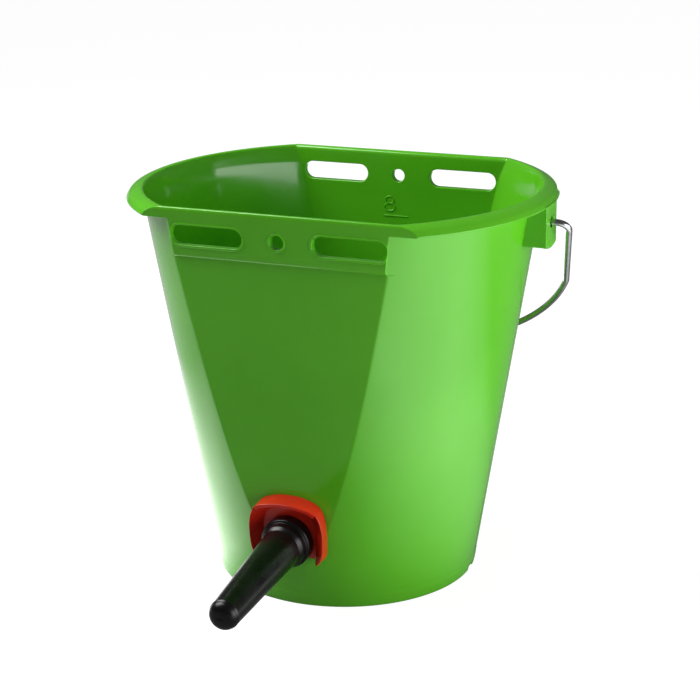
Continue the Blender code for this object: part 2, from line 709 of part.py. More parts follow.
def build_clip(slide):
    """Horseshoe clip: a flat plate in the valve's groove, with a dished wall that rises to a finger lip on top."""
    outer, neck = clip_outline()
    bottom = GAP
    plate_top = GAP + CLIP_PLATE
    clear_of_collar = TEAT_COLLAR_RADIUS + CLIP_LEG_CLEARANCE
    sections = []
    for rim_point, neck_point in zip(outer, neck):
        inward = (neck_point - rim_point).normalized()
        on_lip = abs(rim_point.x) < CLIP_LIP_HALF_WIDTH and rim_point.y > 0
        wall_top = CLIP_WALL_HEIGHT + (CLIP_LIP_EXTRA if on_lip else 0.0)
        ridge = rim_point + inward * CLIP_WALL
        dish = rim_point + inward * CLIP_DISH
        if rim_point.y < 0:
            ridge.x = math.copysign(max(abs(ridge.x), clear_of_collar), ridge.x)
            dish.x = math.copysign(max(abs(dish.x), clear_of_collar), dish.x)
        section = (
            (rim_point, bottom),
            (rim_point, wall_top),
            (ridge, wall_top),
            (dish, plate_top),
            (neck_point, plate_top),
            (neck_point, bottom),
        )
        sections.append([(point.x, point.y, w) for point, w in section])
    red = make_material("red_clip_plastic", RED, 0.35)
    make_object("retaining_clip", loft(sections), red, slide)


def main():
    clear_scene()
    frame = make_empty("bucket_frame", (0.0, AXIS_Y, 0.0))
    square_to_panel = (math.pi / 2 + PANEL_ANGLE, 0.0, 0.0)
    valve_axis = make_empty("valve_axis", (0.0, -VALVE_Y, VALVE_HEIGHT), square_to_panel, frame)
    clip_slide = make_empty("clip_slide", (0.0, 0.0, 0.0), parent=valve_axis)
    ball_slide = make_empty("ball_slide", (0.0, 0.0, BALL_REST), parent=valve_axis)
    bail_hinge = make_empty("bail_hinge", (0.0, 0.0, PIVOT_Z), (BAIL_REST_ANGLE, 0.0, 0.0), frame)
    build_bucket(frame, valve_axis)
    build_bail(bail_hinge)
    build_valve_body(valve_axis)
    build_valve_seal(valve_axis)
    build_valve_ball(ball_slide)
    build_valve_cap(valve_axis)
    build_teat(valve_axis)
    build_clip(clip_slide)


main()
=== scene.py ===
"""Looks of the teat feeding bucket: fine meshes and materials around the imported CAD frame.

Metres, +Z up, in the part's own frame. Bucket pieces are modelled about the bucket's axis and moved to
AXIS_Y. Valve, teat and clip pieces are modelled about the valve's axis: w is 0 on the front panel's outer
face and runs outward.
"""

import json
import math

import bmesh
import bpy
from mathutils import Matrix, Vector


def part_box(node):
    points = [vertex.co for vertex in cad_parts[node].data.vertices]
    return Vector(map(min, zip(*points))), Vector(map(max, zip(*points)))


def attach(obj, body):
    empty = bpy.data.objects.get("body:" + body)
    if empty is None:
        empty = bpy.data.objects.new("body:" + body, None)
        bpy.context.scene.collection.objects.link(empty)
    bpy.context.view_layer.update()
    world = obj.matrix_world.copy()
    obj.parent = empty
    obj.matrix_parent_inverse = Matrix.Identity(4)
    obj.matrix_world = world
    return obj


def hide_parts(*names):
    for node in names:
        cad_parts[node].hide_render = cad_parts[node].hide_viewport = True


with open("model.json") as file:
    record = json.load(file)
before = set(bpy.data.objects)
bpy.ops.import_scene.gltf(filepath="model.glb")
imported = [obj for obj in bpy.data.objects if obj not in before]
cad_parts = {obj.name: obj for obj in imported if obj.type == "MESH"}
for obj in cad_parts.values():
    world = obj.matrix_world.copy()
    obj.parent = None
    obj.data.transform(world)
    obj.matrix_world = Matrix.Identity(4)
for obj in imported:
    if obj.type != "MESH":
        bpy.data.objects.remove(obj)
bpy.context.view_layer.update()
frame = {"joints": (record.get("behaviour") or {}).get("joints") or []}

JOINTS = {joint["name"]: joint for joint in frame["joints"]}
AXIS_Y = JOINTS["bail_hinge"]["pos_m"][1]
PIVOT_Z = JOINTS["bail_hinge"]["pos_m"][2]
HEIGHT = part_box("right_rim")[1].z

BUCKET_NODES = (
    "bucket_wall", "bucket_floor", "front_strip", "rear_strip",
    "right_rim", "left_rim", "right_ear", "left_ear",
)

# Bucket wall: a cone whose front and rear are cut off by two flat panels
WALL = 0.0028
CONE_RADIUS_AT_BASE = 0.09236
CONE_TAPER = 0.1637
PANEL_AT_BASE = 0.0953
PANEL_TAPER = 0.058
# Height at which the panels begin to cut the cone
PANEL_START = (PANEL_AT_BASE - CONE_RADIUS_AT_BASE) / (CONE_TAPER - PANEL_TAPER)
OUTER_CORNER = 0.0036
INNER_CORNER = 0.0012
CRISP_CORNER = 0.0005
FLAT_POINTS = 12
CORNER_POINTS = 8
ARC_POINTS = 36

# Base ring, floor and drain notches
FLOOR_TOP = 0.011
FLOOR_FILLET = 0.0065
NOTCH_WIDTH = 0.0124
NOTCH_CENTRE_Y = 0.0054
NOTCH_HEIGHT = 0.004

# Level marks: the lines stand a little under the true levels, as the visible one does
MARK_LITRES = (2, 4, 6, 8)
MARK_SCALE = 0.987
MARK_LEFT = -0.0111
MARK_LENGTH = 0.0190
NUMERAL_LIFT = 0.0035
NUMERAL_HEIGHT = 0.0110
NUMERAL_STRETCH = 0.0134
RIDGE_WIDTH = 0.0011
RIDGE_HEIGHT = 0.0004

# Slotted strips
STRIP_AT_TOP = 0.1132
STRIP_TAPER = 0.0363
STRIP_THICKNESS = 0.0054
STRIP_BOTTOM = HEIGHT - 0.0331
STRIP_HALF_WIDTH_TOP = 0.0775
STRIP_HALF_WIDTH_BOTTOM = 0.0740
STRIP_LIP = 0.0060
SLOT_CENTRES_X = (0.0309, 0.0690)
SLOT_RADIUS = 0.0065
HOLE_RADIUS = 0.0047
OPENINGS_DEPTH = 0.0181
EDGE_ROUND = 0.0008
BEAD_MARGIN = 0.0005

# Rolled rim and ears
RIM_RADIUS = 0.148
RIM_HEIGHT = 0.0073
RIM_SHELL = 0.0026
EAR_FACE_X = 0.1485
EAR_HALF_WIDTH = 0.0118
EAR_DEPTH = 0.0333
EAR_SHELL = 0.0025
EAR_TAB = 0.0019
EAR_EDGE = 0.0007
PIVOT_HOLE_RADIUS = 0.0037
PIVOT_EDGE_ROUND = 0.0004

# Bail
WIRE_RADIUS = 0.00225
BAIL_REST_ANGLE = math.radians(42.0)
LEG_X_AT_PIVOT = 0.1606
LEG_LEAN = 0.202
KINK_DROP = 0.0695
ARC_RADIUS = 0.1582
ARC_CENTRE_DROP = 0.0101
SHOULDER_BEND = 0.0071
KINK_BEND = 0.010
HOOK_X = 0.1410
HOOK_BEND = 0.0035
HOOK_REACH = 0.0056

# Valve
VALVE_HEIGHT = 0.0525
VALVE_Y = PANEL_AT_BASE + PANEL_TAPER * VALVE_HEIGHT
PANEL_ANGLE = math.atan(PANEL_TAPER)
VALVE_HOLE_RADIUS = 0.0130
VALVE_TUBE_RADIUS = 0.0126
OVER_TUBE_RADIUS = 0.01295
FLANGE_RADIUS = 0.0175
FLANGE_THICKNESS = 0.0032
SEAL_THICKNESS = 0.0020
GROOVE_RADIUS = 0.0108
GROOVE_WIDTH = 0.0037
SPIGOT_START = 0.0108
SPIGOT_RADIUS = 0.0060
MILK_BORE_RADIUS = 0.0040
CHAMBER_RADIUS = 0.0067
CHAMBER_OUTER_RADIUS = 0.0090
CHAMBER_END = -0.0204
BALL_RADIUS = 0.0060
BALL_REST = -0.0089
CAP_RADIUS = 0.0112
CAP_INNER_RADIUS = 0.00935
CAP_MOUTH = -0.0140
CAP_THICKNESS = 0.0028
CAP_GRIPS = 20
CAP_GRIP_DEPTH = 0.0004
GAP = 0.00035

# Teat
COLLAR_RADIUS = 0.0177
COLLAR_END = 0.0135
TEAT_ROOT_RADIUS = 0.0136
TEAT_END_RADIUS = 0.0102
TEAT_LENGTH = 0.1120
TEAT_DOME = 0.0062
TEAT_TIP_WALL = 0.0052
TEAT_BORE_RADIUS = 0.0082
TEAT_DROOP = 0.0464
SLIT_HALF_LENGTH = 0.003
SLIT_HALF_WIDTH = 0.0003

# Clip
CLIP_PLATE = 0.0030
CLIP_WALL_TOP = 0.0104
CLIP_LIP_TOP = 0.0118

BUCKET_PLACE = Matrix.Translation((0.0, AXIS_Y, 0.0))
VALVE_PLACE = (
    BUCKET_PLACE
    @ Matrix.Translation((0.0, -VALVE_Y, VALVE_HEIGHT))
    @ Matrix.Rotation(math.pi / 2 + PANEL_ANGLE, 4, "X")
)


# ---------------- mesh helpers

def loft(sections, closed=False):
    """Skin a stack of equal closed outlines. A closed loft joins its last outline to its first."""
    builder = bmesh.new()
    rings = [[builder.verts.new(point) for point in section] for section in sections]
    pairs = list(zip(rings, rings[1:]))
    if closed:
        pairs.append((rings[-1], rings[0]))
    for lower, upper in pairs:
        for i in range(len(lower)):
            j = (i + 1) % len(lower)
            builder.faces.new((lower[i], lower[j], upper[j], upper[i]))
    if not closed:
        builder.faces.new(reversed(rings[0]))
        builder.faces.new(rings[-1])
    return builder


def turned(profile, segments):
    """Turn a closed profile of (radius, w) points round the local Z axis."""
    builder = bmesh.new()
    points = [builder.verts.new((radius, 0.0, w)) for radius, w in profile]
    edges = [builder.edges.new((points[i], points[(i + 1) % len(points)])) for i in range(len(points))]
    bmesh.ops.spin(
        builder, geom=points + edges, cent=(0, 0, 0), axis=(0, 0, 1), angle=2 * math.pi, steps=segments,
        use_merge=True,
    )
    bmesh.ops.remove_doubles(builder, verts=builder.verts, dist=1e-6)
    bmesh.ops.dissolve_degenerate(builder, edges=builder.edges, dist=1e-7)
    return builder


def corner_curve(start, corner, end, steps):
    """Points of the quadratic curve that rounds a corner."""
    result = []
    for k in range(steps + 1):
        t = k / steps
        result.append(start * (1 - t) ** 2 + corner * 2 * t * (1 - t) + end * t**2)
    return result


def rounded(points, steps=4, closed=True):
    """Round the corners of a 2-D outline of (x, y, radius) points; radius 0 keeps a corner sharp."""
    result = []
    count = len(points)
    for i, (x, y, radius) in enumerate(points):
        corner = Vector((x, y))
        at_end = not closed and i in (0, count - 1)
        if radius <= 0 or at_end:
            result.append(corner)
            continue
        before = Vector(points[i - 1][:2]) - corner
        after = Vector(points[(i + 1) % count][:2]) - corner
        half = before.angle(after) / 2
        reach = min(radius / math.tan(half), before.length * 0.49, after.length * 0.49)
        start = corner + before.normalized() * reach
        end = corner + after.normalized() * reach
        result += corner_curve(start, corner, end, steps)
    return result


def levels(low, high, count):
    """Evenly spaced values from low to high, both included."""
    return [low + (high - low) * i / (count - 1) for i in range(count)]


def to_mesh_object(name, builder, place):
    """Turn a bmesh into an object in the scene, with its faces pointing out."""
    bmesh.ops.recalc_face_normals(builder, faces=builder.faces)
    mesh = bpy.data.meshes.new(name)
    builder.to_mesh(mesh)
    builder.free()
    mesh.transform(place)
    made = bpy.data.objects.new(name, mesh)
    bpy.context.scene.collection.objects.link(made)
    return made


def shade(piece, sharp_angle):
    piece.data.shade_smooth()
    piece.data.set_sharp_from_angle(angle=math.radians(sharp_angle))
    normals = piece.modifiers.new("weighted_normals", "WEIGHTED_NORMAL")
    normals.keep_sharp = True
    normals.weight = 60


def finish_piece(piece, material, body, slot, *nodes):
    """Give a piece its material and the body it rides on, and hide the CAD nodes that it replaces; slot is
    not used.
    """
    piece.data.materials.clear()
    piece.data.materials.append(material)
    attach(piece, body)
    if nodes:
        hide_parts(*nodes)


def add_piece(name, builder, place, sharp_angle, *finish):
    """A finished piece straight from a bmesh; the last arguments are finish_piece's."""
    piece = to_mesh_object(name, builder, place)
    shade(piece, sharp_angle)
    finish_piece(piece, *finish)


def apply_boolean(target, operand, operation):
    """A Boolean between two closed meshes, made permanent, and the operand removed."""
    modifier = target.modifiers.new(operation, "BOOLEAN")
    modifier.operation = operation
    modifier.solver = "MANIFOLD"
    modifier.object = operand
    depsgraph = bpy.context.evaluated_depsgraph_get()
    result = bpy.data.meshes.new_from_object(target.evaluated_get(depsgraph))
    target.modifiers.clear()
    target.data = result
    bpy.data.objects.remove(operand)


def joined(builders):
    """Several separate bmesh bodies as one."""
    whole = bmesh.new()
    for builder in builders:
        bmesh.ops.recalc_face_normals(builder, faces=builder.faces)
        mesh = bpy.data.meshes.new("join")
        builder.to_mesh(mesh)
        builder.free()
        whole.from_mesh(mesh)
        bpy.data.meshes.remove(mesh)
    return whole


# ---------------- bucket

def cone_radius(z):
    return CONE_RADIUS_AT_BASE + CONE_TAPER * z


def panel_distance(z):
    return PANEL_AT_BASE + PANEL_TAPER * z


def strip_distance(z):
    return STRIP_AT_TOP - STRIP_TAPER * (HEIGHT - z)


def strip_half_width(z):
    part_way = (z - STRIP_BOTTOM) / (HEIGHT - STRIP_BOTTOM)
    return STRIP_HALF_WIDTH_BOTTOM + part_way * (STRIP_HALF_WIDTH_TOP - STRIP_HALF_WIDTH_BOTTOM)


def cut_circle_quadrant(radius, flat, corner):
    """A quarter of a circle cut off by a flat at y = flat, from the flat's middle to the X axis.

    The corner between the two is rounded."""
    cut = flat < radius
    cx = math.sqrt((radius - corner) ** 2 - (flat - corner) ** 2) if cut else 0.0
    cy = flat - corner
    line_end = min(math.atan2(flat, cx), math.pi / 2 - 0.09)
    arc_start = min(math.atan2(cy, cx), line_end - 0.05)

    def reach(angle):
        if not cut or angle <= math.atan2(cy, cx):
            return radius
        if angle >= math.atan2(flat, cx):
            return flat / math.sin(angle)
        along = cx * math.cos(angle) + cy * math.sin(angle)
        return along + math.sqrt(along**2 - cx**2 - cy**2 + corner**2)

    line_x = flat / math.tan(line_end)
    angles = [math.atan2(flat, line_x * i / FLAT_POINTS) for i in range(FLAT_POINTS)]
    angles += [line_end + (arc_start - line_end) * i / CORNER_POINTS for i in range(CORNER_POINTS)]
    angles += [arc_start * (1 - i / ARC_POINTS) for i in range(ARC_POINTS + 1)]
    return [(reach(a) * math.cos(a), reach(a) * math.sin(a)) for a in angles]


def standing_strip_quadrant(radius, flat, corner, half_width):
    """The same quarter where a strip stands out past the circle and ends square at half_width."""
    straight = half_width - corner
    points = [(straight * i / FLAT_POINTS, flat) for i in range(FLAT_POINTS)]
    for i in range(CORNER_POINTS):
        turn = math.pi / 2 * i / (CORNER_POINTS - 1)
        points.append((straight + corner * math.sin(turn), flat - corner + corner * math.cos(turn)))
    spread = math.acos(half_width / radius)
    points += [
        (radius * math.cos(angle), radius * math.sin(angle))
        for angle in [spread * (1 - i / ARC_POINTS) for i in range(ARC_POINTS + 1)]
    ]
    return points


def whole_outline(quadrant, z):
    """Mirror a quarter outline into the full closed one at height z."""
    around = list(quadrant)
    around += [(x, -y) for x, y in reversed(quadrant[:-1])]
    around += [(-x, -y) for x, y in quadrant[1:]]
    around += [(-x, y) for x, y in reversed(quadrant[1:-1])]
    return [(x, y, z) for x, y in around]


def bucket_sections():
    """Outlines from under the floor, down the base ring, up the outside, over the rim and back inside."""
    sections = []

    def add(z, radius, flat, corner=OUTER_CORNER, half_width=None):
        if half_width is None:
            quadrant = cut_circle_quadrant(radius, flat, corner)
        else:
            quadrant = standing_strip_quadrant(radius, flat, corner, half_width)
        sections.append(whole_outline(quadrant, z))

    # Underside of the floor, and the foot: round-edged, with a fine groove above it
    underside = FLOOR_TOP - WALL
    foot = CONE_RADIUS_AT_BASE
    for z, radius in (
        (underside, foot - WALL - 0.0016), (underside - 0.0005, foot - WALL - 0.0005),
        (underside - 0.0016, foot - WALL), (0.0010, foot - WALL + 0.0002),
        (0.0003, foot - WALL + 0.0005), (0.0000, foot - WALL + 0.0011), (0.0000, foot - 0.0009),
        (0.0003, foot - 0.0002), (0.0010, foot + 0.0003), (0.0026, foot + 0.0007),
        (0.0050, foot + 0.0011), (0.0076, foot + 0.0014), (0.0088, foot + 0.0016),
        (0.0094, foot + 0.00148), (0.0100, foot + 0.00158), (0.0108, foot + 0.00175),
    ):
        add(z, radius, panel_distance(z))

    # Outside of the wall, with more outlines near the foot, where the panels begin
    wall_bottom = PANEL_START * 0.55
    wall_top = STRIP_BOTTOM - 0.0004
    for part in levels(0.0, 1.0, 22):
        z = wall_bottom + (wall_top - wall_bottom) * part**1.6
        add(z, cone_radius(z), panel_distance(z))

    # Strips: the lower lip rolls out of the panel, then an almost upright face
    lip_step = strip_distance(STRIP_BOTTOM) - panel_distance(STRIP_BOTTOM)
    for part in (0.0, 0.03, 0.10, 0.22, 0.38, 0.58, 0.80, 1.0):
        z = STRIP_BOTTOM + STRIP_LIP * part
        inset = lip_step * 0.94 * (1 - math.sqrt(1 - (1 - part) ** 2))
        add(z, cone_radius(z), strip_distance(z) - inset, CRISP_CORNER, strip_half_width(z))
    below_rim = HEIGHT - RIM_HEIGHT - 0.00002
    for z in levels(STRIP_BOTTOM + STRIP_LIP, below_rim, 4)[1:]:
        add(z, cone_radius(z), strip_distance(z), CRISP_CORNER, strip_half_width(z))

    # Rolled rim, cut off by the strips' plane: lower edge, outer band, shoulder, sloping top, inner bead
    for drop, radius, flat_inset in (
        (RIM_HEIGHT, RIM_RADIUS - 0.0011, 0.0), (RIM_HEIGHT - 0.0001, RIM_RADIUS - 0.0005, 0.0),
        (RIM_HEIGHT - 0.0005, RIM_RADIUS - 0.0001, 0.0), (RIM_HEIGHT - 0.0011, RIM_RADIUS, 0.0),
        (0.0050, 0.1473, 0.0), (0.0038, 0.1466, 0.0), (0.0029, 0.1458, 0.0), (0.0022, 0.1449, 0.0),
        (0.0016, 0.1438, 0.0001), (0.0009, 0.1421, 0.0003), (0.0004, 0.1405, 0.0006),
        (0.0001, 0.1392, 0.0011), (0.0000, 0.1383, 0.0019), (0.0001, 0.1375, 0.0028),
        (0.0005, 0.1368, 0.0040), (0.0011, 0.1363, 0.0048),
        (0.0020, 0.1360, STRIP_THICKNESS - 0.0001),
    ):
        z = HEIGHT - drop
        add(z, radius, strip_distance(z) - flat_inset, CRISP_CORNER)

    # Inside of the rim and of the strips
    for drop, radius in ((0.0032, 0.1356), (0.0052, 0.1350), (0.0075, 0.1344), (0.0100, 0.1337)):
        z = HEIGHT - drop
        add(z, radius, strip_distance(z) - STRIP_THICKNESS, INNER_CORNER)
    for z in levels(HEIGHT - 0.0130, STRIP_BOTTOM, 4):
        add(z, cone_radius(z) - WALL, strip_distance(z) - STRIP_THICKNESS, INNER_CORNER)

    # Inside of the wall, the floor's fillet and the floor
    inner_bottom = FLOOR_TOP + FLOOR_FILLET
    for part in reversed(levels(0.0, 1.0, 20)):
        z = inner_bottom + (STRIP_BOTTOM - 0.0020 - inner_bottom) * part**1.5
        add(z, cone_radius(z) - WALL, panel_distance(z) - WALL, INNER_CORNER)
    for turn in (15, 30, 45, 60, 75, 90):
        rise = FLOOR_FILLET * (1 - math.sin(math.radians(turn)))
        inset = FLOOR_FILLET * (1 - math.cos(math.radians(turn)))
        z = FLOOR_TOP + rise
        add(z, cone_radius(z) - WALL - inset, panel_distance(z) - WALL - inset, INNER_CORNER)
    return sections


def stadium(centres_x, centre_z, radius, steps=12):
    """Outline of a slot with full-round ends, as (x, z); two equal centres give a circle."""
    outline = []
    turns = ((centres_x[1], -90), (centres_x[0], 90))
    last = steps if centres_x[0] == centres_x[1] else steps + 1
    for centre_x, start in turns:
        for i in range(last):
            angle = math.radians(start + 180 * i / steps)
            outline.append((centre_x + radius * math.cos(angle), centre_z + radius * math.sin(angle)))
    return outline


def flared_cutter(outline_at, place, thickness, edge_round):
    """A cutter that leaves rounded edges on both faces of a plate.

    outline_at(extra) gives the outline grown by extra; place(u, v, depth) puts a point on the bucket."""
    beyond = 0.0015
    lift = 0.00002
    steps = 5
    profile = [(-beyond, edge_round)]
    for i in range(steps + 1):
        turn = math.pi / 2 * i / steps
        profile.append((edge_round * (1 - math.cos(turn)) - lift, edge_round * (1 - math.sin(turn))))
    profile += [(thickness - depth, extra) for depth, extra in reversed(profile)]
    sections = [[place(u, v, depth) for u, v in outline_at(extra)] for depth, extra in profile]
    cutter = loft(sections)
    bmesh.ops.remove_doubles(cutter, verts=cutter.verts, dist=1e-7)
    return cutter


def raised_bead(outline_at, place):
    """A low rounded bead that stands round an opening on the strip's outer face."""
    # (growth of the outline, depth below the face), round the bead from its buried inner foot
    profile = (
        (0.0004, 0.0008), (0.0004, -0.0004), (0.0008, -0.0006),
        (0.0012, -0.0006), (0.0016, -0.0003), (0.0018, 0.0008),
    )
    rings = []
    for extra, depth in profile:
        outline = [(u, v, strip_half_width(v) - BEAD_MARGIN) for u, v in outline_at(extra)]
        rings.append([place(max(-limit, min(limit, u)), v, depth) for u, v, limit in outline])
    return loft([list(section) for section in zip(*rings)], closed=True)


def strip_openings():
    """Beads and cutters for the slots and hook holes of both strips."""
    beads = []
    cutters = []
    centre_z = HEIGHT - OPENINGS_DEPTH
    left_centres = tuple(-x for x in reversed(SLOT_CENTRES_X))
    openings = ((SLOT_CENTRES_X, SLOT_RADIUS), (left_centres, SLOT_RADIUS), ((0, 0), HOLE_RADIUS))
    for face in (-1, 1):
        def place(u, v, depth, face=face):
            return (u, face * (strip_distance(v) - depth), v)

        for centres, radius in openings:
            def outline_at(extra, centres=centres, radius=radius):
                return stadium(centres, centre_z, radius + extra)

            beads.append(raised_bead(outline_at, place))
            cutters.append(flared_cutter(outline_at, place, STRIP_THICKNESS, EDGE_ROUND))
    return beads, cutters


def pivot_cutters():
    """The bail's pivot holes through the outer plates of both ears."""

    def outline_at(extra):
        return stadium((0, 0), PIVOT_Z, PIVOT_HOLE_RADIUS + extra)

    cutters = []
    for side in (-1, 1):
        def place(u, v, depth, side=side):
            return (side * (EAR_FACE_X - depth), u, v)

        cutters.append(flared_cutter(outline_at, place, EAR_SHELL, PIVOT_EDGE_ROUND))
    return cutters


def rim_channel_cutters():
    """Channels under the rim, open below, that stop short of the strips and the ears."""
    top = HEIGHT - RIM_SHELL - 0.0006
    bottom = HEIGHT - RIM_HEIGHT - 0.002
    inner = cone_radius(HEIGHT - RIM_HEIGHT) + 0.0006
    outer = RIM_RADIUS - RIM_SHELL
    limit = math.asin((STRIP_AT_TOP - RIM_SHELL) / outer) - 0.035
    ear_limit = math.asin((EAR_HALF_WIDTH + 0.0012) / inner)
    profile = rounded([
        (inner, bottom, 0), (outer, bottom, 0), (outer, top - 0.0022, 0.001),
        (outer - 0.003, top, 0.001), (inner, top, 0.0006),
    ])
    cutters = []
    for start, end in (
        (ear_limit, limit), (math.pi - limit, math.pi - ear_limit),
        (math.pi + ear_limit, math.pi + limit), (-limit, -ear_limit),
    ):
        angles = levels(start, end, 30)
        cutters.append(loft([[(r * math.cos(a), r * math.sin(a), z) for r, z in profile] for a in angles]))
    return cutters


def notch_cutter():
    """One bar across the whole foot that cuts the drain notches at both sides."""
    half = NOTCH_WIDTH / 2
    outline = rounded([
        (NOTCH_CENTRE_Y - half, -0.005, 0), (NOTCH_CENTRE_Y + half, -0.005, 0),
        (NOTCH_CENTRE_Y + half, NOTCH_HEIGHT, 0.001), (NOTCH_CENTRE_Y - half, NOTCH_HEIGHT, 0.001),
    ])
    return loft([[(x, y, z) for y, z in outline] for x in (-0.12, 0.12)])


def valve_hole_cutter():
    """The valve's hole through the front panel, square to the panel."""
    builder = bmesh.new()
    bmesh.ops.create_cone(
        builder,
        cap_ends=True, segments=72, radius1=VALVE_HOLE_RADIUS, radius2=VALVE_HOLE_RADIUS,
        depth=0.02, matrix=BUCKET_PLACE.inverted() @ VALVE_PLACE,
    )
    return builder


def ear(side):
    """A three-sided box, open below and to the wall, with round outer corners and a rolled lower edge."""
    top = HEIGHT - RIM_SHELL - 0.0030
    bottom = HEIGHT - EAR_DEPTH
    sections = []
    for z, shrink in (
        (bottom, EAR_EDGE), (bottom + 0.0002, EAR_EDGE * 0.4), (bottom + EAR_EDGE, 0.0),
        (top - 0.012, 0.0), (top, 0.0),
    ):
        buried = cone_radius(z) - 0.0016
        face = EAR_FACE_X - shrink
        half = EAR_HALF_WIDTH - shrink
        inner_face = EAR_FACE_X - EAR_SHELL + shrink * 0.6
        inner_half = EAR_HALF_WIDTH - EAR_SHELL + shrink * 0.6
        outline = rounded([
            (buried, half, 0), (face, half, 0.0009), (face, -half, 0.0009), (buried, -half, 0),
            (buried, -inner_half, 0), (inner_face, -inner_half, 0.0006),
            (inner_face, inner_half, 0.0006), (buried, inner_half, 0),
        ])
        sections.append([(side * x, y, z) for x, y in outline])
    return loft(sections)


def ear_tab(side):
    """The bowed lower edge of an ear's outer plate, with the same rolled edges as the ear."""
    bottom = HEIGHT - EAR_DEPTH
    buried_top = bottom + 0.004
    inner_face = EAR_FACE_X - EAR_SHELL
    profile = (
        (inner_face + 0.00005, EAR_EDGE * 0.6), (inner_face + EAR_EDGE * 0.6, 0.0),
        (EAR_FACE_X - EAR_EDGE, 0.0), (EAR_FACE_X - EAR_EDGE * 0.3, EAR_EDGE * 0.3),
        (EAR_FACE_X - 0.00005, EAR_EDGE),
    )
    sections = []
    for x, shrink in profile:
        half = EAR_HALF_WIDTH - 0.0003 - shrink
        outline = [(side * x, half, buried_top), (side * x, -half, buried_top)]
        for part in levels(-1.0, 1.0, 25):
            outline.append((side * x, half * part, bottom + shrink - EAR_TAB * (1 - part**2)))
        sections.append(outline)
    return loft(sections)


def build_bucket(material):
    """The one-piece moulding: the wall's skin, with ears and beads added and then every opening cut."""
    bucket = to_mesh_object("bucket_shell", loft(bucket_sections()), BUCKET_PLACE)
    beads, cutters = strip_openings()
    cutters += pivot_cutters() + rim_channel_cutters() + [notch_cutter(), valve_hole_cutter()]
    for name, builders, operation in (
        ("additions", [ear(1), ear(-1)] + beads, "UNION"),
        ("tabs", [ear_tab(1), ear_tab(-1)], "UNION"),
        ("cutters", cutters, "DIFFERENCE"),
    ):
        apply_boolean(bucket, to_mesh_object(name, joined(builders), BUCKET_PLACE), operation)
    shade(bucket, 38)
    finish_piece(bucket, material, "bucket", "green_plastic", *BUCKET_NODES)


# ---------------- level marks inside the rear wall

def inside_section_area(z):
    """Area of the inside at height z: a circle less the two segments that the panels cut off."""
    radius = cone_radius(z) - WALL
    flat = min(panel_distance(z) - WALL, radius)
    half_angle = math.acos(flat / radius)
    cut_off = radius**2 * half_angle - flat * radius * math.sin(half_angle)
    return math.pi * radius**2 - 2 * cut_off


def level_of(litres):
    """Height of the surface when the bucket holds this many litres."""
    step = 0.0005
    z = FLOOR_TOP
    volume = 0.0
    while volume < litres * 0.001:
        volume += inside_section_area(z) * step
        z += step
    return z


def arc_points(centre, radii, start, end, steps):
    """Points along an ellipse's arc, with its angles in degrees."""
    turns = [math.radians(angle) for angle in levels(start, end, steps)]
    return [(centre[0] + radii[0] * math.cos(a), centre[1] + radii[1] * math.sin(a)) for a in turns]


def numeral_strokes(numeral):
    """Strokes of a plain numeral, one unit high and 0.66 wide, as (points, closed)."""
    if numeral == 8:
        return [
            (arc_points((0.33, 0.75), (0.25, 0.25), 0, 345, 24), True),
            (arc_points((0.33, 0.26), (0.31, 0.26), 0, 345, 24), True),
        ]
    if numeral == 6:
        tail = arc_points((0.45, 0.36), (0.43, 0.62), 100, 175, 12)
        return [(arc_points((0.33, 0.28), (0.31, 0.28), 0, 345, 24), True), (tail, False)]
    if numeral == 4:
        return [([(0.48, 0.0), (0.48, 1.0), (0.02, 0.30), (0.64, 0.30)], False)]
    top = arc_points((0.33, 0.70), (0.30, 0.30), 170, -35, 16)
    return [(top + [(0.03, 0.0), (0.64, 0.0)], False)]


def raised_stroke(points, closed):
    """A low ridge with sloping sides that follows a line on the inside of the rear wall."""
    # (part of the half width, lift from the wall) across the ridge, whose foot is buried in the wall
    profile = (
        (-1.0, -RIDGE_HEIGHT), (-1.0, 0.0), (-0.55, RIDGE_HEIGHT),
        (0.55, RIDGE_HEIGHT), (1.0, 0.0), (1.0, -RIDGE_HEIGHT),
    )
    count = len(points)
    sections = []
    for i, (x, z) in enumerate(points):
        before = Vector(points[i - 1] if closed or i > 0 else points[i])
        after = Vector(points[(i + 1) % count] if closed or i < count - 1 else points[i])
        across = (after - before).normalized().orthogonal() * RIDGE_WIDTH / 2
        section = []
        for part, lift in profile:
            px, pz = x + across.x * part, z + across.y * part
            section.append((px, panel_distance(pz) - WALL - lift, pz))
        sections.append(section)
    return loft(sections, closed)


def build_level_marks(material):
    """A line and a plain numeral at each level, a part of the moulding that only scene.py shows."""
    strokes = []
    for litres in MARK_LITRES:
        z = level_of(litres * MARK_SCALE)
        line = [(MARK_LEFT, z), (MARK_LEFT + MARK_LENGTH, z)]
        strokes.append(raised_stroke(line, False))
        base = z + NUMERAL_LIFT
        for points, closed in numeral_strokes(litres):
            placed = [(MARK_LEFT + x * NUMERAL_STRETCH, base + y * NUMERAL_HEIGHT) for x, y in points]
            strokes.append(raised_stroke(placed, closed))
    add_piece("level_marks", joined(strokes), BUCKET_PLACE, 30, material, "bucket", "green_plastic")


# ---------------- bail

def bend(corner, before, after, radius, steps):
    """Points of an arc that rounds the corner between two straight runs."""
    corner, before, after = Vector(corner), Vector(before), Vector(after)
    to_before = (before - corner).normalized()
    to_after = (after - corner).normalized()
    half = to_before.angle(to_after) / 2
    reach = radius / math.tan(half)
    centre = corner + (to_before + to_after).normalized() * radius / math.sin(half)
    start = corner + to_before * reach - centre
    end = corner + to_after * reach - centre
    turn_all = start.angle_signed(end)
    return [centre + Matrix.Rotation(-turn_all * i / steps, 2) @ start for i in range(steps + 1)]


